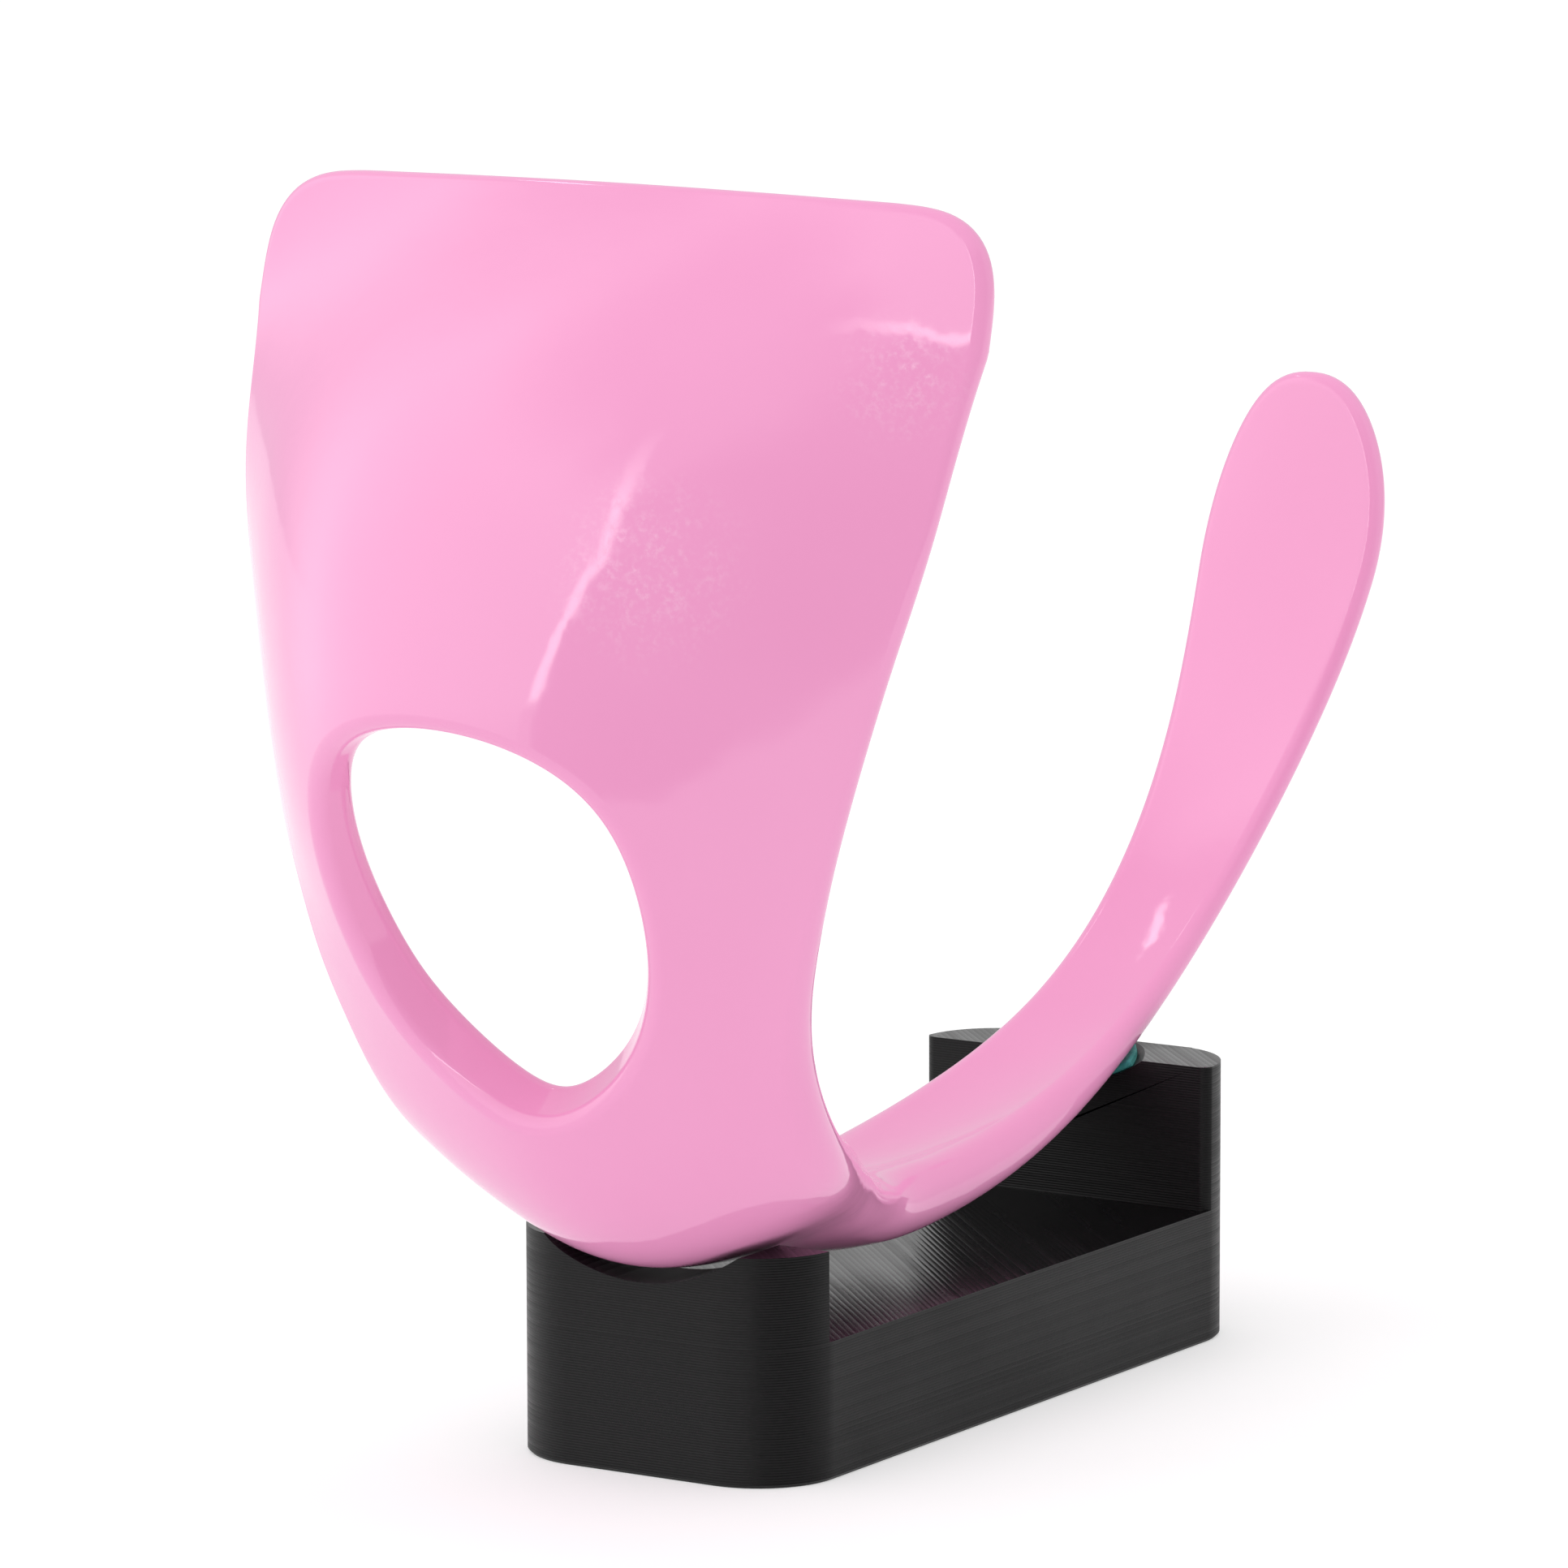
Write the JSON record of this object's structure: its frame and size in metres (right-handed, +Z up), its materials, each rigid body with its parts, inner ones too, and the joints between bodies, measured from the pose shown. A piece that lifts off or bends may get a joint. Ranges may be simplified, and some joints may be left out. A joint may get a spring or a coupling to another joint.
{
  "type": "open cuff on cradle stand",
  "caption": "Glossy one-piece open cuff with a broad shield plate, an oval opening and a slim paddle tail, resting in the notches of a black cradle stand.",
  "frame": {"origin": "centre of the stand's flat underside", "axes": "+X across the stand, +Y from the low tower to the tall tower, +Z up"},
  "size_m": [0.0628, 0.1295, 0.0963],
  "materials": {
    "cuff": "high-gloss dipped lacquer, light pink",
    "stand": "satin black print with fine layer lines",
    "pad": "matt teal soft lining"
  },
  "bodies": {
    "stand": {"cradle_stand": "stand", "notch_pad": "pad"},
    "cuff": {"cuff_body": "cuff"}
  },
  "joints": [
    {"name": "lift_off", "type": "slide", "parent": "stand", "child": "cuff", "axis": [0, 0, 1], "range_m": [0, 0.03]}
  ]
}
